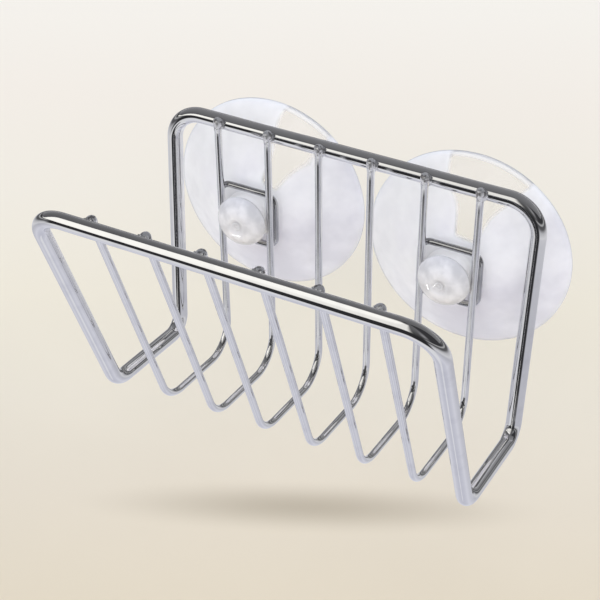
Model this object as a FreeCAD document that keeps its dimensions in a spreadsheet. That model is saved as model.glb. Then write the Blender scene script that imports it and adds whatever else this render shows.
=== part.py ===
import FreeCAD, Part
import math
import os
import Sketcher

# Driving dimensions of the sponge holder, in millimetres
driving = {
    # Frame wire: one closed loop, rear bar, uprights, side runs, front legs and front bar
    "frame_width": 128.0,
    "rear_height": 89.2,
    "run_reach": 42.5,
    "run_rise": 4.6,
    "front_reach": 79.9,
    "front_height": 92.0,
    "frame_wire": 5.2,
    "bar_bend": 10.5,
    "foot_bend": 6.0,
    "run_bend": 10.0,
    # Ribs: thin wires bent to a U, welded inside the two bars
    "rib_pitch": 18.22,
    "rib_wire": 2.45,
    "rib_back": 2.7,
    "rib_drop": 3.2,
    "rib_reach": 38.9,
    "rib_rise": 1.2,
    "rib_rear_bend": 10.5,
    "rib_front_bend": 14.0,
    "rib_tip_round": 0.8,
    "rear_tip_rise": 2.9,
    "front_tip_rise": 2.0,
    "weld_sink": 0.3,
    # Cup rings: small square loops welded behind two ribs
    "ring_side": 20.4,
    "ring_wire": 2.2,
    "ring_bend": 3.8,
    # Suction cups, and the wall that they press on
    "axis_height": 56.1,
    "wall_stand": 18.0,
    "cup_diameter": 70.0,
    "lip_thickness": 1.2,
    "land_width": 2.0,
    "dish_depth": 12.2,
    "dish_round": 120.0,
    "collar_diameter": 22.0,
    "collar_gap": 0.3,
    "boss_diameter": 17.0,
    "neck_diameter": 14.9,
    "head_diameter": 17.8,
    "head_stand": 3.0,
    "head_rise": 4.2,
    "dimple_diameter": 5.6,
    "dimple_depth": 0.6,
}

rib_count = 6
cup_sides = ("left", "right")
# Shares of the head: where its back meets the neck, its two roundings, and the dimple's flat floor
neck_start_share = 0.5
head_round_share = 0.74
back_round_share = 0.2
dimple_floor_share = 0.6
# Two ends of an outline closer than this are one corner
same_place = 0.001

doc = FreeCAD.newDocument("sponge_holder")
sheet = doc.addObject("Spreadsheet::Sheet", "Sizes")
for row, (name, number) in enumerate(driving.items(), start=1):
    sheet.set(f"A{row}", name)
    sheet.set(f"B{row}", str(number))
    sheet.setAlias(f"B{row}", name)
doc.recompute()


class Size:
    # A formula on the sheet's cells, together with its present value

    def __init__(self, text, value):
        self.text = text
        self.value = value

    def __add__(self, other):
        return combine("+", self, other, self.value + plain(other))

    def __radd__(self, other):
        return combine("+", other, self, plain(other) + self.value)

    def __sub__(self, other):
        return combine("-", self, other, self.value - plain(other))

    def __rsub__(self, other):
        return combine("-", other, self, plain(other) - self.value)

    def __mul__(self, other):
        return combine("*", self, other, self.value * plain(other))

    def __rmul__(self, other):
        return combine("*", other, self, plain(other) * self.value)

    def __truediv__(self, other):
        return combine("/", self, other, self.value / plain(other))

    def __neg__(self):
        return combine("-", 0, self, -self.value)


def plain(item):
    return item.value if isinstance(item, Size) else item


def formula(item):
    return item.text if isinstance(item, Size) else str(item)


def combine(sign, first, second, value):
    return Size(f"({formula(first)} {sign} {formula(second)})", value)


def size(name):
    return Size(f"Sizes.{name}", float(sheet.get(name)))


def hypotenuse(first, second):
    squares = first * first + second * second
    return Size(f"sqrt({squares.text})", math.sqrt(squares.value))


def slope_angle(rise, run):
    return Size(f"atan2({rise.text}; {run.text})", math.degrees(math.atan2(rise.value, run.value)))


def new_body(label, base=(0, 0, 0), lean=None):
    body = doc.addObject("PartDesign::Body", label)
    body.Label = label
    if lean is not None:
        body.Placement = FreeCAD.Placement(
            FreeCAD.Vector(), FreeCAD.Rotation(FreeCAD.Vector(1, 0, 0), lean.value))
        body.setExpression("Placement.Rotation.Angle", lean.text)
    for axis, place in zip("xyz", base):
        body.setExpression(f"Placement.Base.{axis}", formula(place))
    return body


def new_sketch(body, name, role, base=(0, 0, 0), tilt=None):
    sketch = body.newObject("Sketcher::SketchObject", name)
    plane = next(item for item in body.Origin.OriginFeatures if item.Role == role)
    sketch.AttachmentSupport = [(plane, "")]
    sketch.MapMode = "FlatFace"
    if tilt is not None:
        sketch.AttachmentOffset = FreeCAD.Placement(
            FreeCAD.Vector(), FreeCAD.Rotation(FreeCAD.Vector(1, 0, 0), tilt.value))
        sketch.setExpression("AttachmentOffset.Rotation.Angle", tilt.text)
    for axis, place in zip("xyz", base):
        if isinstance(place, Size):
            sketch.setExpression(f"AttachmentOffset.Base.{axis}", place.text)
    return sketch


def vector(point):
    return FreeCAD.Vector(plain(point[0]), plain(point[1]), 0)


def bind(sketch, constraint, place):
    index = sketch.addConstraint(constraint)
    sketch.setExpression(f"Constraints[{index}]", place.text)


def pin(sketch, geometry, end, point):
    # Holds a point at its two formulas, or on an axis where a formula is zero
    for kind, axis, place in (("DistanceX", -2, point[0]), ("DistanceY", -1, point[1])):
        if isinstance(place, Size):
            bind(sketch, Sketcher.Constraint(kind, -1, 1, geometry, end, place.value), place)
        else:
            sketch.addConstraint(Sketcher.Constraint("PointOnObject", geometry, end, axis))


def bent_path(sketch, corners, radii):
    # Straight runs from corner to corner, joined by tangent bends
    places = [vector(corner) for corner in corners]
    starts = [places[0]]
    ends = []
    bends = []
    for before, here, after, bend in zip(places, places[1:], places[2:], radii):
        arriving = (here - before).normalize()
        leaving = (after - here).normalize()
        turn = arriving.getAngle(leaving)
        cut = bend.value * math.tan(turn / 2)
        ends.append(here - arriving * cut)
        starts.append(here + leaving * cut)
        inward = (leaving - arriving).normalize()
        centre = here + inward * (bend.value / math.cos(turn / 2))
        bends.append((centre, bend, arriving.cross(leaving).z > 0))
    ends.append(places[-1])
    lines = []
    for start, end in zip(starts, ends):
        lines.append(sketch.addGeometry(Part.LineSegment(start, end), False))
    for number, (centre, bend, leftward) in enumerate(bends):
        first = ends[number] - centre
        last = starts[number + 1] - centre
        if not leftward:
            first, last = last, first
        circle = Part.Circle(centre, FreeCAD.Vector(0, 0, 1), bend.value)
        arc = Part.ArcOfCircle(circle, math.atan2(first.y, first.x), math.atan2(last.y, last.x))
        curve = sketch.addGeometry(arc, False)
        entry, leave = (1, 2) if leftward else (2, 1)
        sketch.addConstraint(Sketcher.Constraint("Tangent", lines[number], 2, curve, entry))
        sketch.addConstraint(Sketcher.Constraint("Tangent", curve, leave, lines[number + 1], 1))
        bind(sketch, Sketcher.Constraint("Radius", curve, bend.value), bend)
        corner = sketch.addGeometry(Part.Point(places[number + 1]), True)
        sketch.addConstraint(Sketcher.Constraint("PointOnObject", corner, 1, lines[number]))
        sketch.addConstraint(Sketcher.Constraint("PointOnObject", corner, 1, lines[number + 1]))
        pin(sketch, corner, 1, corners[number + 1])
    pin(sketch, lines[0], 1, corners[0])
    pin(sketch, lines[-1], 2, corners[-1])


def round_section(sketch, centre, diameter):
    radius = diameter / 2
    circle = Part.Circle(vector(centre), FreeCAD.Vector(0, 0, 1), radius.value)
    ring = sketch.addGeometry(circle, False)
    bind(sketch, Sketcher.Constraint("Radius", ring, radius.value), radius)
    pin(sketch, ring, 3, centre)


def sweep(body, name, section, path):
    doc.recompute()
    pipe = body.newObject("PartDesign::AdditivePipe", name)
    pipe.Profile = section
    pipe.Spine = (path, [f"Edge{number + 1}" for number in range(len(path.Shape.Edges))])
    doc.recompute()
    return pipe


def mirror_halves(body, name, features):
    plane = next(item for item in body.Origin.OriginFeatures if item.Role == "YZ_Plane")
    mirrored = body.newObject("PartDesign::Mirrored", name)
    mirrored.Originals = features
    mirrored.MirrorPlane = (plane, [""])
    body.Tip = mirrored
    doc.recompute()


def round_ends(body, name, pipe, radius):
    # Rounds the two flat ends of a wire
    flats = [face for face in pipe.Shape.Faces if isinstance(face.Surface, Part.Plane)]
    rims = [edge for face in flats for edge in face.Edges]
    names = []
    for number, edge in enumerate(pipe.Shape.Edges, start=1):
        if any(edge.isSame(rim) for rim in rims):
            names.append(f"Edge{number}")
    fillet = body.newObject("PartDesign::Fillet", name)
    fillet.Base = (pipe, names)
    fillet.setExpression("Radius", radius.text)
    doc.recompute()


def line_between(sketch, start, end):
    return sketch.addGeometry(Part.LineSegment(vector(start), vector(end)), False)


def arc_between(sketch, start, end, radius, side):
    # An arc on the left (+1) or right (-1) of the way from start to end
    first = vector(start)
    last = vector(end)
    way = last - first
    left = FreeCAD.Vector(-way.y, way.x, 0).normalize()
    reach = math.sqrt(radius.value ** 2 - (way.Length / 2) ** 2)
    centre = (first + last) / 2 - left * (side * reach)
    middle = centre + left * (side * radius.value)
    curve = sketch.addGeometry(Part.Arc(first, middle, last), False)
    bind(sketch, Sketcher.Constraint("Radius", curve, radius.value), radius)
    return curve


half_width = size("frame_width") / 2
frame_wire = size("frame_wire")
rib_wire = size("rib_wire")
ring_wire = size("ring_wire")
rear_height = size("rear_height")
front_reach = size("front_reach")
front_height = size("front_height")
run_reach = size("run_reach")
run_rise = size("run_rise")
bar_bend = size("bar_bend")
foot_bend = size("foot_bend")
run_bend = size("run_bend")
ring_bend = size("ring_bend")
weld_sink = size("weld_sink")
wall_stand = size("wall_stand")
axis_height = size("axis_height")
# The frame's lower rear corner, seen from the point on the wall midway between the cups
frame_base = (0, -wall_stand, -axis_height)


def make_frame():
    leg_reach = front_reach - run_reach
    leg_rise = front_height - run_rise
    leg_length = hypotenuse(leg_reach, leg_rise)
    leg_lean = slope_angle(leg_reach, leg_rise)
    half_leg = (-(run_reach + front_reach) / 2, (run_rise + front_height) / 2)
    half_rear = rear_height / 2
    body = new_body("frame_wire", frame_base)

    rear_section = new_sketch(body, "rear_bar_section", "YZ_Plane")
    round_section(rear_section, (0, rear_height), frame_wire)
    rear_path = new_sketch(body, "rear_path", "XZ_Plane")
    rear_corners = [(0, rear_height), (-half_width, rear_height), (-half_width, half_rear)]
    bent_path(rear_path, rear_corners, [bar_bend])
    rear_half = sweep(body, "rear_half", rear_section, rear_path)

    side_section = new_sketch(body, "upright_section", "XY_Plane", (0, 0, half_rear))
    round_section(side_section, (-half_width, 0), frame_wire)
    side_path = new_sketch(body, "side_path", "YZ_Plane", (0, 0, -half_width))
    side_corners = [(0, half_rear), (0, 0), (-run_reach, run_rise), half_leg]
    bent_path(side_path, side_corners, [foot_bend, run_bend])
    side_half = sweep(body, "side_half", side_section, side_path)

    front_section = new_sketch(body, "front_bar_section", "YZ_Plane")
    round_section(front_section, (-front_reach, front_height), frame_wire)
    front_path = new_sketch(body, "front_path", "XZ_Plane", (0, run_rise, run_reach), leg_lean)
    front_corners = [(0, leg_length), (-half_width, leg_length), (-half_width, leg_length / 2)]
    bent_path(front_path, front_corners, [bar_bend])
    front_half = sweep(body, "front_half", front_section, front_path)

    mirror_halves(body, "whole_loop", [rear_half, side_half, front_half])
    return body


# Ribs lie against the inner sides of both bars, and their rear legs lean a little
rib_offset = (frame_wire + rib_wire) / 2 - weld_sink
rib_back = size("rib_back")
rib_drop = size("rib_drop")
rib_reach = size("rib_reach")
rib_rise = size("rib_rise")
rear_lean_run = rib_back + rib_offset
rear_lean_rise = rear_height + rib_drop
rib_lean = slope_angle(rear_lean_run, rear_lean_rise)
front_leg_reach = front_reach - rib_offset - rib_reach
front_leg_rise = front_height - rib_rise
middle_rib = (rib_count + 1) / 2


def along_rear_leg(height):
    # Depth of the rib's rear leg at a height
    return rear_lean_run * (rear_height - height) / rear_lean_rise - rib_offset


def along_front_leg(height):
    # Depth of the rib's front leg at a height
    return -(front_leg_reach * (height - rib_rise) / front_leg_rise + rib_reach)


def make_rib(number):
    body = new_body(f"rib_{number}", (size("rib_pitch") * (number - middle_rib), -wall_stand, -axis_height))
    rear_tip_height = rear_height + size("rear_tip_rise")
    front_tip_height = front_height + size("front_tip_rise")
    rear_tip = (along_rear_leg(rear_tip_height), rear_tip_height)
    front_tip = (along_front_leg(front_tip_height), front_tip_height)
    path = new_sketch(body, f"rib_path_{number}", "YZ_Plane")
    corners = [rear_tip, (rib_back, -rib_drop), (-rib_reach, rib_rise), front_tip]
    bent_path(path, corners, [size("rib_rear_bend"), size("rib_front_bend")])
    section = new_sketch(body, f"rib_section_{number}", "XY_Plane", (0, rear_tip[0], rear_tip[1]), rib_lean)
    round_section(section, (0, 0), rib_wire)
    pipe = sweep(body, f"rib_wire_{number}", section, path)
    round_ends(body, f"rib_tips_{number}", pipe, size("rib_tip_round"))
    return body


rib_plane = along_rear_leg(axis_height) - wall_stand
ring_plane = rib_plane + (rib_wire + ring_wire) / 2 - weld_sink
half_side = size("ring_side") / 2
# The lean takes the foot of a ring this far towards the wall
ring_lean_back = half_side * (rear_lean_run / hypotenuse(rear_lean_run, rear_lean_rise))


def axis_side(side):
    # A cup's axis lies midway between the two outer ribs of its side
    offset = size("rib_pitch") * (rib_count / 2 - 1)
    return -offset if side == "left" else offset


def make_ring(side):
    body = new_body(f"{side}_cup_ring", (axis_side(side), ring_plane, 0), rib_lean)
    section = new_sketch(body, f"{side}_ring_section", "YZ_Plane")
    round_section(section, (0, half_side), ring_wire)
    path = new_sketch(body, f"{side}_ring_path", "XZ_Plane")
    corners = [(0, half_side), (-half_side, half_side), (-half_side, -half_side), (0, -half_side)]
    bent_path(path, corners, [ring_bend, ring_bend])
    half = sweep(body, f"{side}_ring_half", section, path)
    mirror_halves(body, f"{side}_ring_loop", [half])
    return body


def make_cup(side):
    cup_radius = size("cup_diameter") / 2
    land_radius = cup_radius - size("land_width")
    dish_depth = size("dish_depth")
    boss_radius = size("boss_diameter") / 2
    neck_radius = size("neck_diameter") / 2
    head_radius = size("head_diameter") / 2
    head_stand = size("head_stand")
    head_rise = size("head_rise")
    dimple_radius = size("dimple_diameter") / 2
    widest = rib_plane - head_stand
    pole = widest - head_rise
    dimple_floor = pole + size("dimple_depth")
    collar_front = ring_plane + ring_wire / 2 + ring_lean_back + size("collar_gap")
    dish_radius = (land_radius * land_radius + dish_depth * dish_depth) / (dish_depth * 2)

    floor_centre = (dimple_floor, 0)
    floor_edge = (dimple_floor, dimple_radius * dimple_floor_share)
    dimple_edge = (pole, dimple_radius)
    head_edge = (widest, head_radius)
    neck_front = (rib_plane - head_stand * neck_start_share, neck_radius)
    neck_back = (ring_plane, neck_radius)
    boss_front = (ring_plane, boss_radius)
    boss_back = (collar_front, boss_radius)
    collar_edge = (collar_front, size("collar_diameter") / 2)
    lip_front = (-size("lip_thickness"), cup_radius)
    lip_back = (0, cup_radius)
    land_inner = (0, land_radius)
    dish_centre = (-dish_depth, 0)

    body = new_body(f"{side}_suction_cup", (axis_side(side), 0, 0))
    sketch = new_sketch(body, f"{side}_cup_outline", "YZ_Plane")
    pieces = [
        line_between(sketch, floor_centre, floor_edge),
        line_between(sketch, floor_edge, dimple_edge),
        arc_between(sketch, dimple_edge, head_edge, head_radius * head_round_share, 1),
        arc_between(sketch, head_edge, neck_front, head_radius * back_round_share, 1),
        line_between(sketch, neck_front, neck_back),
        line_between(sketch, neck_back, boss_front),
        line_between(sketch, boss_front, boss_back),
        line_between(sketch, boss_back, collar_edge),
        arc_between(sketch, collar_edge, lip_front, size("dish_round"), 1),
        line_between(sketch, lip_front, lip_back),
        line_between(sketch, lip_back, land_inner),
        arc_between(sketch, land_inner, dish_centre, dish_radius, -1),
        line_between(sketch, dish_centre, floor_centre),
    ]
    corners = [floor_centre, floor_edge, dimple_edge, head_edge, neck_front, neck_back, boss_front,
               boss_back, collar_edge, lip_front, lip_back, land_inner, dish_centre]
    ends = {}
    for piece, start in zip(pieces, corners):
        near = sketch.getPoint(piece, 1).isEqual(vector(start), same_place)
        ends[piece] = (1, 2) if near else (2, 1)
    for piece, following in zip(pieces, pieces[1:] + pieces[:1]):
        joint = Sketcher.Constraint("Coincident", piece, ends[piece][1], following, ends[following][0])
        sketch.addConstraint(joint)
    for piece, start in zip(pieces, corners):
        pin(sketch, piece, ends[piece][0], start)
    doc.recompute()
    turned = body.newObject("PartDesign::Revolution", f"{side}_cup_moulding")
    turned.Profile = sketch
    turned.ReferenceAxis = (sketch, ["H_Axis"])
    doc.recompute()
    return body


bodies = [make_frame()]
for rib_number in range(1, rib_count + 1):
    bodies.append(make_rib(rib_number))
for cup_side in cup_sides:
    bodies.append(make_ring(cup_side))
    bodies.append(make_cup(cup_side))
doc.recompute()

for item in doc.Objects:
    if "Invalid" in item.State or "Error" in item.State:
        raise RuntimeError(f"{item.Label} did not rebuild")
for body in bodies:
    if body.Shape.isNull() or not body.Shape.isValid():
        raise RuntimeError(f"{body.Label} has no valid shape")

os.makedirs("parts", exist_ok=True)
for body in bodies:
    body.Shape.exportStep(os.path.join("parts", f"{body.Label}.step"))
    print(f"{body.Label}: {len(body.Shape.Solids)} solid, {body.Shape.Volume:.1f} mm3")
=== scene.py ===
import bmesh
import bpy
import math
from mathutils import Matrix, Vector


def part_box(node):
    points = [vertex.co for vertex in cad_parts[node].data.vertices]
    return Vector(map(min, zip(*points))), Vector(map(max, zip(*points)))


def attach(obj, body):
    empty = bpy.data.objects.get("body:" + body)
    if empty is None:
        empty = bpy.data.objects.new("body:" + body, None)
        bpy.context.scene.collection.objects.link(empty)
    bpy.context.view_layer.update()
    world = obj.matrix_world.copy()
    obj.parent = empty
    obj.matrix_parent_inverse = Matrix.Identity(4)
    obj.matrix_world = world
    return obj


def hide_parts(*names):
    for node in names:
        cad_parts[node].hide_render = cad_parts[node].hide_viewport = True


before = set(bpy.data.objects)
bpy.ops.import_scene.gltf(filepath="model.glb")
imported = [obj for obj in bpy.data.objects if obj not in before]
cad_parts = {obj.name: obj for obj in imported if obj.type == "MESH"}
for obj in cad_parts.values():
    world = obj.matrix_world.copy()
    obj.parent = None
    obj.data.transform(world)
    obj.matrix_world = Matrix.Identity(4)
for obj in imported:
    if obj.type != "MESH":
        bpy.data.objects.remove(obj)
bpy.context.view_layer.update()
mm = 0.001
mergeGap = 0.002 * mm
tinyEdge = 0.0005 * mm
print("frame loaded:", len(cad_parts), "nodes")


# a wrapped node output, so that shader sums read as plain sums
class Feed:
    def __init__(self, tree, socket=None):
        self.tree = tree
        self.socket = socket

    def node(self, kind, settings=None, inputs=None, out=0):
        made = self.tree.nodes.new(kind)
        for name, value in (settings or {}).items():
            if name == "stops":
                fillRamp(made.color_ramp, value)
            else:
                setattr(made, name, value)
        for name, value in (inputs or {}).items():
            if isinstance(value, Feed):
                self.tree.links.new(value.socket, made.inputs[name])
            else:
                made.inputs[name].default_value = value
        return Feed(self.tree, made.outputs[out] if len(made.outputs) else None)

    def maths(self, operation, first, second=0.0):
        return self.node("ShaderNodeMath", {"operation": operation}, {0: first, 1: second})

    def __add__(self, other):
        return self.maths("ADD", self, other)

    def __radd__(self, other):
        return self.maths("ADD", other, self)

    def __sub__(self, other):
        return self.maths("SUBTRACT", self, other)

    def __rsub__(self, other):
        return self.maths("SUBTRACT", other, self)

    def __mul__(self, other):
        return self.maths("MULTIPLY", self, other)

    def __rmul__(self, other):
        return self.maths("MULTIPLY", other, self)

    def __truediv__(self, other):
        return self.maths("DIVIDE", self, other)

    def ramp(self, low, high):  # 0 below low, 1 above high, smooth between
        limits = {"Value": self, "From Min": low, "From Max": high}
        return self.node("ShaderNodeMapRange", {"interpolation_type": "SMOOTHSTEP"}, limits)

    def between(self, low, lowFull, highFull, high):  # 1 in the middle, 0 outside
        return self.ramp(low, lowFull) * (1 - self.ramp(highFull, high))

    def tones(self, stops):
        return self.node("ShaderNodeValToRGB", {"stops": stops}, {"Fac": self})

    def axes(self):
        made = self.tree.nodes.new("ShaderNodeSeparateXYZ")
        self.tree.links.new(self.socket, made.inputs["Vector"])
        return [Feed(self.tree, socket) for socket in made.outputs]


def fillRamp(colorRamp, stops):
    while len(colorRamp.elements) < len(stops):
        colorRamp.elements.new(1.0)
    for element, (place, colour) in zip(colorRamp.elements, stops):
        element.position = place
        element.color = (*colour, 1.0)


def mixColours(factor, first, second, blend="MIX"):
    # the mix node's colour sockets are known by number only
    inputs = {0: factor, 6: first, 7: second}
    return factor.node("ShaderNodeMix", {"data_type": "RGBA", "blend_type": blend}, inputs, out=2)


def mixShaders(factor, first, second):
    return factor.node("ShaderNodeMixShader", {}, {0: factor, 1: first, 2: second})


def newMaterial(name):
    material = bpy.data.materials.new(name)
    material.use_nodes = True
    material.node_tree.nodes.clear()
    return material, Feed(material.node_tree)


def cloud(place, scale, detail=2.0):
    return place.node("ShaderNodeTexNoise", {}, {"Vector": place, "Scale": scale, "Detail": detail})


def radians(angles):
    return [math.radians(angle) for angle in angles]


# bright nickel-chrome plate: polished, a little wavy, dull and pitted at the welds
chromeLook = {
    "plate": (0.79, 0.79, 0.80, 1.0),
    "cast": (0.73, 0.73, 0.75, 1.0),
    # the ring's plate and cast are darker copies of the chrome: painted shade for the darker
    # reflections the small ring shows
    "shadedRingPlate": (0.52, 0.52, 0.53, 1.0),
    "shadedRingCast": (0.44, 0.44, 0.455, 1.0),
    "scorch": (0.30, 0.29, 0.29, 1.0),
    "roughness": 0.03,
    "smear": 0.04,
    "smearSize": 160.0,
    "smearTint": (0.45, 0.75),
    "smearDull": (0.5, 0.8),
    "weldRoughness": 0.26,
    "weldDull": 0.12,
    "pitSize": 900.0,
    "pitEdge": (0.5, 0.6),
    "waveSize": 70.0,
    "waveHeight": 0.6,
    "grainSize": 1400.0,
    "grainHeight": 0.012,
    "weldSize": 620.0,
    "weldHeight": 2.4,
    "bumpStrength": 0.25,
    "bumpDepth": 0.0004,
}


def makeChrome(name, plateTone, castTone):
    look = chromeLook
    material, start = newMaterial(name)
    place = start.node("ShaderNodeTexCoord", out="Object")
    weld = start.node("ShaderNodeAttribute", {"attribute_name": "weld"}, out="Fac")
    smears = cloud(place, look["smearSize"], 4.0)
    pits = cloud(place, look["pitSize"], 3.0).ramp(*look["pitEdge"]) * weld
    plate = mixColours(smears.ramp(*look["smearTint"]), plateTone, castTone)
    colour = mixColours(pits, plate, look["scorch"])
    dulled = smears.ramp(*look["smearDull"]) * look["smear"]
    roughness = look["roughness"] + dulled + weld * look["weldRoughness"]
    waves = cloud(place, look["waveSize"]) * look["waveHeight"]
    grain = cloud(place, look["grainSize"], 3.0) * look["grainHeight"]
    lumps = cloud(place, look["weldSize"]) * weld * look["weldHeight"]
    relief = {"Strength": look["bumpStrength"], "Distance": look["bumpDepth"],
              "Height": waves + grain + lumps}
    bump = start.node("ShaderNodeBump", {}, relief)
    metal = 1 - weld * look["weldDull"]
    inputs = {"Base Color": colour, "Metallic": metal, "Roughness": roughness, "Normal": bump}
    shader = start.node("ShaderNodeBsdfPrincipled", {}, inputs)
    start.node("ShaderNodeOutputMaterial", {}, {"Surface": shader})
    return material


chrome = makeChrome("chromePlate", chromeLook["plate"], chromeLook["cast"])
# the cup rings get the darker copy of the chrome, as painted shade
shadedRingChrome = makeChrome("shadedRingPlate", chromeLook["shadedRingPlate"], chromeLook["shadedRingCast"])
print("chrome made")


# wires: a round section pushed along the straight runs and spun round the bends
def vertsOf(geom):
    return [item for item in geom if isinstance(item, bmesh.types.BMVert)]


def edgesOf(geom):
    return [item for item in geom if isinstance(item, bmesh.types.BMEdge)]


def onSide(across, place):
    # a depth and height in mm, on the upright plane that lies across metres to the side
    depth, height = place
    return Vector((across, depth * mm, height * mm))


def startRing(bm, place, heading, radius, sides):
    turn = heading.to_track_quat("Z", "Y").to_matrix().to_4x4()
    before = set(bm.edges)
    upright = Matrix.Translation(place) @ turn
    bmesh.ops.create_circle(bm, segments=sides, radius=radius, matrix=upright)
    return [edge for edge in bm.edges if edge not in before]


def pushRing(bm, ring, step, growth=1.0):
    made = bmesh.ops.extrude_edge_only(bm, edges=ring)["geom"]
    verts = vertsOf(made)
    bmesh.ops.translate(bm, vec=step, verts=verts)
    if growth != 1.0:
        centre = sum((vert.co for vert in verts), Vector()) / len(verts)
        bmesh.ops.scale(bm, vec=(growth,) * 3, space=Matrix.Translation(-centre), verts=verts)
    fresh = set(verts)
    return [edge for edge in edgesOf(made) if fresh.issuperset(edge.verts)]


def ringVerts(ring):
    return list({vert for edge in ring for vert in edge.verts})


def closeRing(bm, ring):
    bmesh.ops.edgeloop_fill(bm, edges=ring)


def pushStraight(bm, ring, step):
    endShare = 0.03  # a ring near each end keeps the shading straight between them
    for share in (endShare, 1 - 2 * endShare, endShare):
        ring = pushRing(bm, ring, step * share)
    return ring


def bendWire(bm, ring, corners, bends, bendSteps):
    # from the first corner to the last, round each corner between them
    place = corners[0]
    for before, corner, after, bend in zip(corners, corners[1:], corners[2:], bends):
        arriving = (corner - before).normalized()
        leaving = (after - corner).normalized()
        turn = arriving.angle(leaving)
        entry = corner - arriving * bend * math.tan(turn / 2)
        ring = pushStraight(bm, ring, entry - place)
        inward = (leaving - arriving * leaving.dot(arriving)).normalized()
        spun = bmesh.ops.spin(
            bm, geom=ringVerts(ring) + ring, cent=entry + inward * bend,
            axis=arriving.cross(leaving).normalized(), dvec=(0, 0, 0),
            angle=turn, steps=bendSteps, use_merge=False)
        ring = edgesOf(spun["geom_last"])
        place = corner + leaving * bend * math.tan(turn / 2)
    return pushStraight(bm, ring, corners[-1] - place)


def tidyMesh(bm):
    bmesh.ops.remove_doubles(bm, verts=bm.verts[:], dist=mergeGap)
    bmesh.ops.dissolve_degenerate(bm, dist=tinyEdge, edges=bm.edges[:])
    bmesh.ops.recalc_face_normals(bm, faces=bm.faces[:])


def mirrorHalf(bm):
    half = bm.verts[:] + bm.edges[:] + bm.faces[:]
    bmesh.ops.mirror(bm, geom=half, merge_dist=mergeGap, axis="X")
    tidyMesh(bm)


def addMesh(name, bm, material):
    mesh = bpy.data.meshes.new(name)
    bm.to_mesh(mesh)
    bm.free()
    mesh.materials.append(material)
    made = bpy.data.objects.new(name, mesh)
    bpy.context.scene.collection.objects.link(made)
    return made


def addPiece(name, bm, material, body, slotName, *nodes):
    for face in bm.faces:
        face.smooth = True
    piece = addMesh(name, bm, material)
    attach(piece, body)
    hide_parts(*nodes)
    return piece


# outer frame: one closed loop of thick wire, built as its left half and mirrored
outerFrame = {
    "wire": 5.2,
    "halfWidth": 64.0,
    "rearBar": (-18.0, 33.1),
    "rearFoot": (-18.0, -56.1),
    "frontFoot": (-60.5, -51.5),
    "frontBar": (-97.9, 35.9),
    "barBend": 10.5,
    "footBend": 6.0,
    "runBend": 10.0,
    "sides": 40,
    "bendSteps": 18,
}


def makeFrame():
    spec = outerFrame
    side = -spec["halfWidth"] * mm
    route = [(0, "rearBar"), (side, "rearBar"), (side, "rearFoot"),
             (side, "frontFoot"), (side, "frontBar"), (0, "frontBar")]
    corners = [onSide(across, spec[name]) for across, name in route]
    bends = [spec[name] * mm for name in ("barBend", "footBend", "runBend", "barBend")]
    bm = bmesh.new()
    ring = startRing(bm, corners[0], Vector((-1, 0, 0)), spec["wire"] / 2 * mm, spec["sides"])
    bendWire(bm, ring, corners, bends, spec["bendSteps"])
    mirrorHalf(bm)
    return addPiece("outerFrame", bm, chrome, "basket", "chrome_wire", "frame_wire")


makeFrame()
print("outer frame made")


# ribs: thin U wires, pressed wide at both ends where they are welded inside the bars
ribs = {
    "count": 6,
    "wire": 2.45,
    "rearTip": (-21.72, 36.0),
    "rearFoot": (-15.3, -59.3),
    "frontFoot": (-56.9, -54.9),
    "frontTip": (-95.20, 37.9),
    "rearBend": 10.5,
    "frontBend": 14.0,
    "rearPress": [(0.0, 0.40), (0.12, 0.75), (0.45, 1.08), (1.0, 1.22),
                  (2.2, 1.22), (3.6, 1.1), (5.0, 1.0)],
    "frontPress": [(0.0, 0.50), (0.15, 0.95), (0.55, 1.32), (1.3, 1.45),
                   (2.4, 1.34), (3.8, 1.1), (5.2, 1.0)],
    "lump": 0.95,
    "lumpStretch": (0.9, 0.8, 1.5),
    "lumpSink": 0.9,
    "lumpAside": 0.85,
    "lumpUneven": 0.16,
    "lumpWaves": (4100, 2700),
    "lumpFineness": 3,
    "weldReach": 5.2,
    "weldFade": 2.5,
    "sides": 28,
    "bendSteps": 16,
}


def weldLump(bm, place):
    spec = ribs
    waveX, waveZ = spec["lumpWaves"]
    centred = Matrix.Translation(place)
    fresh = bmesh.ops.create_icosphere(
        bm, subdivisions=spec["lumpFineness"], radius=spec["lump"] * mm, matrix=centred)["verts"]
    bmesh.ops.scale(bm, vec=spec["lumpStretch"], space=Matrix.Translation(-place), verts=fresh)
    for vert in fresh:  # uneven, as molten metal sets
        swell = math.sin(vert.co.x * waveX + vert.co.z * waveZ)
        vert.co += (vert.co - place) * spec["lumpUneven"] * swell


def weldEnd(bm, tip, along, bar, radius):
    spec = ribs
    seat = tip + along * (bar - tip).dot(along)  # where the rib lies on the bar
    touch = seat + (bar - seat).normalized() * radius * spec["lumpSink"]
    for way in (-1, 1):
        weldLump(bm, touch + Vector((way * radius * spec["lumpAside"], 0, 0)))


def pressEnd(bm, ring, along, widths):
    for (before, width), (after, wider) in zip(widths, widths[1:]):
        ring = pushRing(bm, ring, along * abs(after - before) * mm, wider / width)
    return ring


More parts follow.
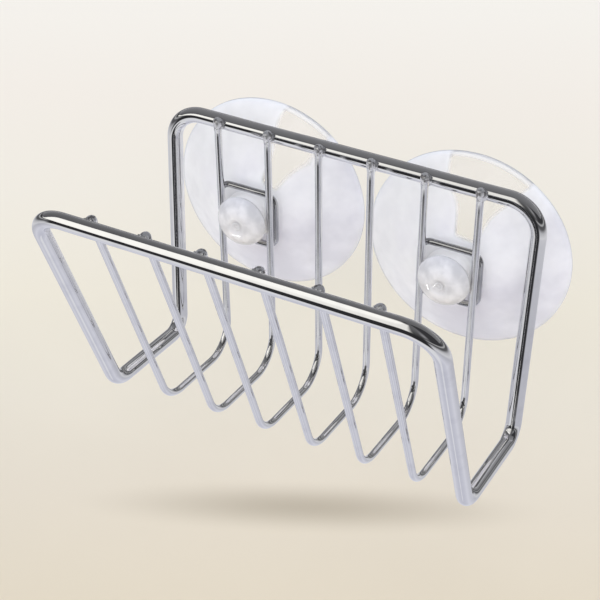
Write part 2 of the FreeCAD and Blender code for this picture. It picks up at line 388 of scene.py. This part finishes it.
def makeRib(number):
    spec = ribs
    node = f"rib_{number}"
    low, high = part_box(node)
    across = (low.x + high.x) / 2
    names = ("rearTip", "rearFoot", "frontFoot", "frontTip")
    rearTip, rearFoot, frontFoot, frontTip = [onSide(across, spec[name]) for name in names]
    down = (rearFoot - rearTip).normalized()
    up = (frontTip - frontFoot).normalized()
    rearPress, frontPress = spec["rearPress"], spec["frontPress"]
    rearStart = rearTip + down * rearPress[-1][0] * mm
    frontEnd = frontTip - up * frontPress[-1][0] * mm
    corners = [rearStart, rearFoot, frontFoot, frontEnd]
    bends = [spec["rearBend"] * mm, spec["frontBend"] * mm]
    radius = spec["wire"] / 2 * mm
    bm = bmesh.new()
    weldLayer = bm.verts.layers.float.new("weld")
    ring = startRing(bm, rearTip, down, radius * rearPress[0][1], spec["sides"])
    closeRing(bm, ring)
    ring = pressEnd(bm, ring, down, rearPress)
    ring = bendWire(bm, ring, corners, bends, spec["bendSteps"])
    ring = pressEnd(bm, ring, up, frontPress[::-1])
    closeRing(bm, ring)
    tidyMesh(bm)
    for tip, along, bar in ((rearTip, down, "rearBar"), (frontTip, -up, "frontBar")):
        weldEnd(bm, tip, along, onSide(across, outerFrame[bar]), radius)
    bmesh.ops.recalc_face_normals(bm, faces=bm.faces[:])
    for vert in bm.verts:
        fromEnd = min((vert.co - rearTip).length, (vert.co - frontTip).length)
        share = (spec["weldReach"] * mm - fromEnd) / (spec["weldFade"] * mm)
        vert[weldLayer] = max(0.0, min(1.0, share))
    return addPiece(f"rib{number}", bm, chrome, "basket", "chrome_wire", node)


for ribNumber in range(1, ribs["count"] + 1):
    makeRib(ribNumber)
print("ribs made")


# cup rings: small rounded squares behind two ribs, leaning with them
cupRing = {
    "side": 20.4,
    "wire": 2.2,
    "bend": 3.8,
    "lean": 3.854,
    "sides": 24,
    "bendSteps": 10,
}


def makeRing(side):
    spec = cupRing
    node = f"{side}_cup_ring"
    low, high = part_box(node)
    half = spec["side"] / 2 * mm
    top, left = Vector((0, 0, half)), Vector((-half, 0, 0))
    corners = [top, top + left, left - top, -top]
    bm = bmesh.new()
    ring = startRing(bm, top, Vector((-1, 0, 0)), spec["wire"] / 2 * mm, spec["sides"])
    bendWire(bm, ring, corners, [spec["bend"] * mm] * 2, spec["bendSteps"])
    mirrorHalf(bm)
    lean = Matrix.Rotation(math.radians(spec["lean"]), 4, "X")
    seated = Matrix.Translation((low + high) / 2) @ lean
    bmesh.ops.transform(bm, matrix=seated, verts=bm.verts[:])
    return addPiece(f"{side}CupRing", bm, shadedRingChrome, "basket", "chrome_wire", node)


for cupSide in ("left", "right"):
    makeRing(cupSide)
print("cup rings made")


# suction cups: soft moulding, milky with a clear window each, and a ball head
cupLook = {
    "clear": (0.985, 0.985, 0.995, 1.0),
    "milk": (0.64, 0.63, 0.69, 1.0),
    "paleMilkAndPaintedLight": (0.98, 0.965, 1.0, 1.0),
    # the neck is near white and glows a little: painted light that lifts the shade cast on it by the
    # head and the ribs
    "neckMilkPaintedLight": (0.97, 0.97, 1.0, 1.0),
    "headMilk": (0.655, 0.648, 0.652, 1.0),
    "headPale": (0.82, 0.807, 0.807, 1.0),
    "neckPaintedGlow": (0.085, 0.08, 0.075, 1.0),
    "noPaintedGlow": (0.0, 0.0, 0.0, 1.0),
    "clearRoughness": 0.02,
    "patchRoughness": 0.05,
    "milkRoughness": 0.20,
    "headRoughness": 0.07,
    "clearIor": 1.25,
    "milkIor": 1.5,
    "softReach": 0.010,
    "headReach": 0.0028,
    "dishHaze": 0.97,
    "headHaze": 0.97,
    "windowHaze": 0.02,
    "patchHaze": (0.92, 0.12),
    "patchSize": 38.0,
    "patchEdge": (0.3, 0.75),
    # reach and share of the painted light and shade across the dish
    "paintedLitSideReach": (-40.0, 40.0),
    "paleEdge": (0.1, 1.0),
    "palePatches": 0.5,
    "paintedLitSideShare": 0.7,
    "swirlSize": 190.0,
    "swirlEdge": (0.35, 0.65),
    "ripples": [(140.0, 0.7), (520.0, 0.15)],
    "bumpStrength": 0.18,
    "bumpDepth": 0.0006,
    "neckStart": (16.2, 17.4),
    "ballStart": (19.8, 21.2),
    "rimStart": (33.6, 34.6),
    "windowFoot": (11.5, 13.5),
    "windowEdge": (-1.2, 1.2),
    "driftSize": 70.0,
    "drift": 9.0,
    "hollowWider": 3.0,
    "hollowLonger": 2.5,
    "left": {"windowTurn": 64.0, "windowSpread": 0.6, "windowStart": -6.4,
             "windowHalf": 8.5, "rimHaze": 0.6},
    "right": {"windowTurn": 80.0, "windowSpread": 0.6, "windowStart": -5.0,
              "windowHalf": 17.0, "rimHaze": 0.6},
}


def rampMm(value, limits):
    return value.ramp(*[limit * mm for limit in limits])


def clearWedge(start, onAxis, across, upward, window):
    # opens towards the rim with a drifting edge, and is larger on the hollow side
    look = cupLook
    turn = math.radians(window["windowTurn"])
    along = across * math.cos(turn) + upward * math.sin(turn)
    aside = start.maths("ABSOLUTE", upward * math.cos(turn) - across * math.sin(turn))
    drift = cloud(onAxis, look["driftSize"], 0.0) - 0.5
    inside = start.node("ShaderNodeAttribute", {"attribute_name": "inside"}, out="Fac")
    opening = along * window["windowSpread"] + window["windowStart"] * mm
    halfWidth = start.maths("MINIMUM", opening, window["windowHalf"] * mm)
    wider = drift * (look["drift"] * mm) + inside * (look["hollowWider"] * mm)
    longer = along + inside * (look["hollowLonger"] * mm)
    return rampMm(halfWidth - aside + wider, look["windowEdge"]) * rampMm(longer, look["windowFoot"])


def makePvc(side, centre):
    look = cupLook
    window = look[side]
    material, start = newMaterial(f"{side}ClearPvc")
    place = start.node("ShaderNodeTexCoord", out="Object")
    onAxis = start.node("ShaderNodeMapping", {}, {"Vector": place, "Location": -centre})
    across, outward, upward = onAxis.axes()
    forward = 0 - outward
    head = rampMm(forward, look["neckStart"])
    ball = rampMm(forward, look["ballStart"])
    rim = rampMm(start.maths("SQRT", across * across + upward * upward), look["rimStart"])
    patches = cloud(onAxis, look["patchSize"], 4.0).ramp(*look["patchEdge"])
    swirls = cloud(onAxis, look["swirlSize"], 3.0).ramp(*look["swirlEdge"])
    (wideSize, wideHeight), (fineSize, fineHeight) = look["ripples"]
    ripples = cloud(onAxis, wideSize) * wideHeight + cloud(onAxis, fineSize) * fineHeight
    relief = {"Strength": look["bumpStrength"], "Distance": look["bumpDepth"], "Height": ripples}
    bump = start.node("ShaderNodeBump", {}, relief)

    clearWindow = clearWedge(start, onAxis, across, upward, window)
    leastHaze, patchHaze = look["patchHaze"]
    dishHaze = look["dishHaze"] * (leastHaze + patchHaze * patches)
    windowHaze = look["windowHaze"] + rim * (window["rimHaze"] - look["windowHaze"])
    backHaze = dishHaze + (windowHaze - dishHaze) * clearWindow
    haze = backHaze * (1 - head) + head * look["headHaze"]

    rough = look["clearRoughness"] + patches * look["patchRoughness"]
    clear = start.node("ShaderNodeBsdfPrincipled", {}, {
        "Base Color": look["clear"], "Roughness": rough, "IOR": look["clearIor"],
        "Transmission Weight": 1.0, "Normal": bump})
    # painted light and shade: the dish is painted paler towards the upper left and darker towards
    # the lower right, on top of paler milk in random patches
    paintedLitSide = rampMm(upward - across, look["paintedLitSideReach"])
    pale = (patches * look["palePatches"] + paintedLitSide * look["paintedLitSideShare"]).ramp(*look["paleEdge"])
    dishColour = mixColours(pale, look["milk"], look["paleMilkAndPaintedLight"])
    # the neck takes the near-white milk and a small glow, both painted light on its shade
    milk = start.node("ShaderNodeBsdfPrincipled", {}, {
        "Base Color": mixColours(head, dishColour, look["neckMilkPaintedLight"]),
        "Roughness": look["milkRoughness"], "IOR": look["milkIor"], "Normal": bump,
        "Emission Color": mixColours(head * (1 - ball), look["noPaintedGlow"], look["neckPaintedGlow"]),
        "Emission Strength": 1.0, "Subsurface Weight": 1.0,
        "Subsurface Radius": (1.0, 1.0, 1.0), "Subsurface Scale": look["softReach"]})
    ballMilk = start.node("ShaderNodeBsdfPrincipled", {}, {
        "Base Color": mixColours(swirls, look["headMilk"], look["headPale"]),
        "Roughness": look["headRoughness"], "IOR": look["milkIor"], "Normal": bump,
        "Subsurface Weight": 1.0,
        "Subsurface Radius": (1.0, 1.0, 1.0), "Subsurface Scale": look["headReach"]})
    mixed = mixShaders(haze, clear, mixShaders(ball, milk, ballMilk))
    start.node("ShaderNodeOutputMaterial", {}, {"Surface": mixed})
    return material


suctionCup = {
    "radius": 35.0,
    "landRadius": 33.0,
    "lip": 1.2,
    "dishDepth": 12.2,
    "dishRound": 120.0,
    "collar": (-15.190, 11.0),
    "boss": (-17.275, 8.5),
    "neckRadius": 7.45,
    "neckFront": -20.800,
    "headWidest": (-22.300, 8.9),
    "headPole": -26.500,
    "dimple": (2.8, 1.68, 0.6),
    "gateRing": (0.8, 1.15, 1.5, 0.58),
    "headRound": 6.586,
    "backRound": 1.78,
    "headSteps": 16,
    "backSteps": 8,
    "dishSteps": 20,
    "turns": 112,
}


def lineTo(bm, vert, depth, radius):
    made = bmesh.ops.extrude_vert_indiv(bm, verts=[vert])["verts"][0]
    made.co = Vector((0, depth, radius)) * mm
    return made


def arcTo(bm, vert, depth, radius, roundness, bulge, steps):
    # a point swept round a centre to the given depth and radius; bulge is 1 outwards, -1 inwards
    first = vert.co.copy()
    last = Vector((0, depth, radius)) * mm
    way = last - first
    left = Vector((0, -way.z, way.y)).normalized()
    reach = math.sqrt((roundness * mm) ** 2 - (way.length / 2) ** 2)
    centre = (first + last) / 2 - left * bulge * reach
    angle = (first - centre).angle(last - centre)
    spun = bmesh.ops.spin(
        bm, geom=[vert], cent=centre, axis=(-bulge, 0, 0), dvec=(0, 0, 0),
        angle=angle, steps=steps, use_merge=False)
    return vertsOf(spun["geom_last"])[0]


def drawCup(bm):
    # half of the section, from the middle of the head round the rim to the middle of the hollow
    spec = suctionCup
    dimpleRadius, floorRadius, dimpleDepth = spec["dimple"]
    gateInner, gateTop, gateOuter, gateHeight = spec["gateRing"]
    pole = spec["headPole"]
    floor = pole + dimpleDepth
    bossDepth, bossRadius = spec["boss"]
    collarDepth, collarRadius = spec["collar"]
    land, depth = spec["landRadius"], spec["dishDepth"]
    hollowRound = (land * land + depth * depth) / (2 * depth)
    insideLayer = bm.verts.layers.float.new("inside")
    tip = bm.verts.new(Vector((0, floor, 0)) * mm)
    gate = [(floor, gateInner), (floor - gateHeight, gateTop), (floor, gateOuter)]
    for place in (*gate, (floor, floorRadius), (pole, dimpleRadius)):
        tip = lineTo(bm, tip, *place)
    tip = arcTo(bm, tip, *spec["headWidest"], spec["headRound"], 1, spec["headSteps"])
    neckEnd = (spec["neckFront"], spec["neckRadius"])
    tip = arcTo(bm, tip, *neckEnd, spec["backRound"], 1, spec["backSteps"])
    boss = [(bossDepth, spec["neckRadius"]), (bossDepth, bossRadius)]
    for place in (*boss, (collarDepth, bossRadius), (collarDepth, collarRadius)):
        tip = lineTo(bm, tip, *place)
    tip = arcTo(bm, tip, -spec["lip"], spec["radius"], spec["dishRound"], 1, spec["dishSteps"])
    for place in ((0, spec["radius"]), (0, land)):
        tip = lineTo(bm, tip, *place)
    outerVerts = set(bm.verts)
    arcTo(bm, tip, -depth, 0, hollowRound, -1, spec["dishSteps"])
    for vert in bm.verts:
        vert[insideLayer] = 0.0 if vert in outerVerts else 1.0


def makeCup(side):
    node = f"{side}_suction_cup"
    low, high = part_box(node)
    centre = Vector(((low.x + high.x) / 2, 0, (low.z + high.z) / 2))
    bm = bmesh.new()
    drawCup(bm)
    bmesh.ops.spin(
        bm, geom=bm.verts[:] + bm.edges[:], cent=(0, 0, 0), axis=(0, 1, 0), dvec=(0, 0, 0),
        angle=2 * math.pi, steps=suctionCup["turns"], use_merge=True)
    tidyMesh(bm)
    bmesh.ops.translate(bm, vec=centre, verts=bm.verts[:])
    pvc = makePvc(side, centre)
    return addPiece(f"{side}SuctionCup", bm, pvc, f"{side}_cup", "clear_pvc", node)


cups = [makeCup(cupSide) for cupSide in ("left", "right")]
print("suction cups made")


# stage: a pale floor with painted shade, darker towards the camera, a painted shadow under the
# holder and a painted pool of light round it
stageSet = {
    "floorHeight": -0.0916,
    "floorReach": 6.0,
    "floorSides": 96,
    "paperRoughness": 0.9,
    "viewTurn": 26.24,
    "nearest": -0.09,
    "farthest": 0.39,
    # painted shade: the floor's tones run from darker near the camera to lighter far away
    "tones": [(0.0, (0.713, 0.621, 0.459)), (0.11, (0.733, 0.650, 0.504)),
              (0.22, (0.766, 0.694, 0.547)), (0.36, (0.829, 0.755, 0.588)),
              (0.53, (0.843, 0.775, 0.630)), (0.73, (0.862, 0.787, 0.654)),
              (1.0, (0.883, 0.825, 0.699))],
    # a painted shadow under the holder, and a broad painted pool of light round it
    "shadeCentre": (0.004, -0.046),
    "shadeReach": (0.088, 0.0143),
    "shadeTone": (0.685, 0.67, 0.645, 1.0),
    "paintedFloorLightReach": (0.20, 0.16),
    "paintedFloorLightTone": (1.16, 1.16, 1.16, 1.0),
}


def makeStage():
    spec = stageSet
    material, start = newMaterial("paperFloor")
    across, inward = start.node("ShaderNodeTexCoord", out="Object").axes()[:2]
    turn = math.radians(spec["viewTurn"])
    along = inward * math.cos(turn) - across * math.sin(turn)
    # painted shade: the floor is darker towards the camera, lighter away from it
    level = (along - spec["nearest"]) / (spec["farthest"] - spec["nearest"])
    colour = level.tones(spec["tones"])
    centreX, centreY = spec["shadeCentre"]
    fromX, fromY = across - centreX, inward - centreY
    sideways = fromX * math.cos(turn) + fromY * math.sin(turn)
    lengthways = fromY * math.cos(turn) - fromX * math.sin(turn)
    # a painted pool of light, then a painted shadow, multiplied into the floor's colour
    for reach, tint in (("paintedFloorLightReach", "paintedFloorLightTone"), ("shadeReach", "shadeTone")):
        long, deep = spec[reach]
        spread = sideways * sideways / (long * long) + lengthways * lengthways / (deep * deep)
        paintedPatch = 1 - start.maths("SQRT", spread).ramp(0.0, 1.0)
        colour = mixColours(paintedPatch, colour, spec[tint], "MULTIPLY")
    paper = start.node("ShaderNodeBsdfPrincipled", {}, {
        "Base Color": colour, "Roughness": spec["paperRoughness"], "Specular IOR Level": 0.0})
    start.node("ShaderNodeOutputMaterial", {}, {"Surface": paper})
    bm = bmesh.new()
    middle = Vector((0, 0, spec["floorHeight"]))
    edge = startRing(bm, middle, Vector((0, 0, 1)), spec["floorReach"], spec["floorSides"])
    closeRing(bm, edge)
    floor = addMesh("paperFloor", bm, material)
    floor.visible_glossy = False  # the chrome sees the studio's bands instead


makeStage()


# light: an even pale dome, two soft lamps and a spark for the cups; the chrome sees
# a studio in level bands, a pale panel at the left and a banded card overhead
lightSet = {
    "backdrop": (0.90, 0.875, 0.83, 1.0),
    "nearBackdropPaintedShade": (0.79, 0.72, 0.60, 1.0),
    "backdropFade": (-0.3, 0.3),
    "dome": (0.88, 0.925, 1.06, 1.0),
    "lampAim": (0, -0.03, -0.01),
    "topPlace": (0.1, -0.15, 0.9),
    "topSize": 0.8,
    "topPower": 0.6,
    "fillPlace": (0.3, -1.0, 0.5),
    "fillPower": 0.87,
    "fillSpread": 50.0,
    "sparkPlace": (-0.31, -0.46, -0.45),
    "sparkSize": 0.09,
    "sparkPower": 0.75,
    "frontTurn": -9.0,
    "frontSpread": (35.0, 51.0),
    "sideTurns": (40.0, 60.0, 105.0, 130.0),
    "sideLevels": (0.05, 0.12),
    "sideShade": (0.045, 0.045, 0.048, 1.0),
    "ribTurns": (-31.0, -23.0, 38.0, 47.0),
    "ribDrop": 0.225,
    "frontBands": [(-1.0, (0.615, 0.62, 0.71)), (-0.96, (0.66, 0.667, 0.75)),
                   (-0.86, (0.79, 0.797, 0.86)), (-0.70, (0.84, 0.845, 0.88)),
                   (-0.46, (0.82, 0.82, 0.83)), (-0.385, (0.03, 0.03, 0.032)),
                   (0.14, (0.03, 0.03, 0.032)), (0.5, (0.08, 0.08, 0.08)),
                   (1.0, (0.14, 0.14, 0.145))],
    "backBands": [(-1.0, (0.615, 0.62, 0.71)), (-0.96, (0.65, 0.657, 0.74)),
                  (-0.86, (0.755, 0.76, 0.835)), (-0.72, (0.64, 0.644, 0.71)),
                  (-0.58, (0.555, 0.558, 0.61)), (-0.46, (0.74, 0.74, 0.765)),
                  (-0.30, (0.55, 0.55, 0.57)), (-0.16, (0.12, 0.12, 0.125)),
                  (-0.05, (0.10, 0.10, 0.105)), (-0.015, (0.42, 0.42, 0.42)),
                  (0.03, (0.42, 0.42, 0.42)), (0.07, (0.11, 0.11, 0.115)),
                  (0.20, (0.16, 0.16, 0.165)), (0.40, (0.33, 0.33, 0.34)),
                  (0.70, (0.18, 0.18, 0.185)), (1.0, (0.14, 0.14, 0.145))],
    "panelTurns": (-90.0, -72.0, -4.0, 12.0),
    "panelLevels": (0.10, 0.14, 0.93, 0.985),
    "panelFade": (-32.0, -18.0),
    "panel": (1.22, 1.20, 1.13, 1.0),
    "panelEnd": (0.98, 0.96, 0.91, 1.0),
    "lidHeight": 0.1184,
    "lidFront": (-0.03, -0.113),
    "lidTurn": 15.0,
    "lidReach": 0.45,
    "lidReachTones": (-0.10, 0.30),
    "lidTones": [(0.0, (0.13, 0.13, 0.135)), (0.50, (0.28, 0.28, 0.29)),
                 (0.575, (0.10, 0.10, 0.105)), (0.625, (0.72, 0.72, 0.74)),
                 (0.70, (0.72, 0.72, 0.74)), (0.75, (0.10, 0.10, 0.105)),
                 (0.84, (0.12, 0.12, 0.125)), (0.92, (0.55, 0.55, 0.57)),
                 (1.0, (0.30, 0.30, 0.31))],
}


def halved(height):  # heights from -1 to 1 as the 0 to 1 of a colour ramp
    return height * 0.5 + 0.5


def studioBands(height, stops):
    return halved(height).tones([(halved(place), colour) for place, colour in stops])


def studioShine(start, turn, upward):
    spec = lightSet
    dropped = upward + turn.between(*radians(spec["ribTurns"])) * spec["ribDrop"]
    front = studioBands(dropped, spec["frontBands"])
    aside = start.maths("ABSOLUTE", turn - math.radians(spec["frontTurn"]))
    back = aside.ramp(*radians(spec["frontSpread"]))
    shine = mixColours(back, front, studioBands(upward, spec["backBands"]))
    sides = start.maths("ABSOLUTE", turn).between(*radians(spec["sideTurns"]))
    shine = mixColours(sides * upward.ramp(*spec["sideLevels"]), shine, spec["sideShade"])
    panel = turn.between(*radians(spec["panelTurns"])) * upward.between(*spec["panelLevels"])
    fade = turn.ramp(*radians(spec["panelFade"]))
    return mixColours(panel, shine, mixColours(fade, spec["panel"], spec["panelEnd"]))


def makeWorld(scene):
    spec = lightSet
    world = bpy.data.worlds.new("paleStudio")
    scene.world = world
    world.use_nodes = True
    world.node_tree.nodes.clear()
    start = Feed(world.node_tree)
    across, inward, upward = start.node("ShaderNodeTexCoord", out="Generated").axes()
    turn = start.maths("ARCTAN2", across, 0 - inward)  # 0 straight in front, growing to the right
    shine = studioShine(start, turn, upward)
    glossy = start.node("ShaderNodeLightPath", out="Is Glossy Ray")
    camera = start.node("ShaderNodeLightPath", out="Is Camera Ray")
    through = start.node("ShaderNodeLightPath", out="Is Transmission Ray")
    seen = start.maths("MAXIMUM", camera, through)
    viewTurn = math.radians(stageSet["viewTurn"])
    # what the camera and the clear plastic see of the world is painted darker towards the camera,
    # painted shade like the floor's
    away = inward * math.cos(viewTurn) - across * math.sin(viewTurn)
    behind = away.ramp(*spec["backdropFade"])
    backdrop = mixColours(behind, spec["nearBackdropPaintedShade"], spec["backdrop"])
    colour = mixColours(seen, mixColours(glossy, spec["dome"], shine), backdrop)
    background = start.node("ShaderNodeBackground", {}, {"Color": colour, "Strength": 1.0})
    start.node("ShaderNodeOutputWorld", {}, {"Surface": background})


def makeLid():
    # grey card overhead, behind the front bar, seen by nothing but the shine
    spec = lightSet
    material, start = newMaterial("greyLid")
    inward = start.node("ShaderNodeTexCoord", out="Object").axes()[1]
    nearest, farthest = spec["lidReachTones"]
    tone = ((inward - nearest) / (farthest - nearest)).tones(spec["lidTones"])
    glow = start.node("ShaderNodeEmission", {}, {"Color": tone, "Strength": 1.0})
    start.node("ShaderNodeOutputMaterial", {}, {"Surface": glow})
    bm = bmesh.new()
    reach = spec["lidReach"]
    front = Matrix.Translation((*spec["lidFront"], spec["lidHeight"]))
    turned = front @ Matrix.Rotation(math.radians(spec["lidTurn"]), 4, "Z")
    behind = turned @ Matrix.Translation((0, reach, 0))
    bmesh.ops.create_grid(bm, x_segments=1, y_segments=1, size=reach, matrix=behind)
    lid = addMesh("greyLid", bm, material)
    lid.visible_camera = lid.visible_diffuse = lid.visible_shadow = False
    lid.visible_transmission = lid.visible_volume_scatter = False


def makeLamp(scene, name, kind, place, size, power):
    lamp = bpy.data.lights.new(name, kind)
    if kind == "SUN":
        lamp.angle = math.radians(size)
    else:
        lamp.size = size
    lamp.energy = power
    holder = bpy.data.objects.new(name, lamp)
    scene.collection.objects.link(holder)
    holder.location = place
    aim = Vector(lightSet["lampAim"]) - holder.location
    holder.rotation_euler = aim.to_track_quat("-Z", "Y").to_euler()
    return holder


def makeLight():
    spec = lightSet
    scene = bpy.context.scene
    makeWorld(scene)
    makeLid()
    top = [spec[name] for name in ("topPlace", "topSize", "topPower")]
    fill = [spec[name] for name in ("fillPlace", "fillSpread", "fillPower")]
    tiny = [spec[name] for name in ("sparkPlace", "sparkSize", "sparkPower")]
    makeLamp(scene, "topLamp", "AREA", *top).visible_glossy = False
    makeLamp(scene, "fillLamp", "SUN", *fill).visible_glossy = False
    spark = makeLamp(scene, "sparkLamp", "AREA", *tiny)
    onCups = bpy.data.collections.new("litBySpark")  # it reaches the cups alone, from below
    for cup in cups:
        onCups.objects.link(cup)
    spark.light_linking.receiver_collection = onCups
    spark.light_linking.blocker_collection = onCups
    scene.view_settings.view_transform = "Standard"


makeLight()
print("stage and light set")


# camera where the photograph was taken from
photoCamera = {
    "target": (-15.99, -17.99, -27.79),
    "turn": 26.24,
    "rise": 34.84,
    "roll": 1.52,
    "distance": 515.22,
    "focalPixels": 1509.03,
    "framePixels": 600,
    "sensor": 36.0,
    "clipStart": 0.01,
}


def makeCamera():
    spec = photoCamera
    turn, rise, roll = radians(spec[name] for name in ("turn", "rise", "roll"))
    level = Vector((math.cos(turn), math.sin(turn), 0))
    flat = math.cos(rise)
    back = Vector((math.sin(turn) * flat, -math.cos(turn) * flat, math.sin(rise)))
    upright = back.cross(level)
    axes = Matrix((level, upright, back)).transposed().to_4x4()
    place = Vector(spec["target"]) * mm + back * spec["distance"] * mm
    data = bpy.data.cameras.new("photoCamera")
    data.sensor_width = spec["sensor"]
    data.lens = spec["focalPixels"] / spec["framePixels"] * spec["sensor"]
    data.clip_start = spec["clipStart"]
    camera = bpy.data.objects.new("photoCamera", data)
    bpy.context.scene.collection.objects.link(camera)
    camera.matrix_world = Matrix.Translation(place) @ axes @ Matrix.Rotation(roll, 4, "Z")
    bpy.context.scene.camera = camera


makeCamera()
print("camera set")
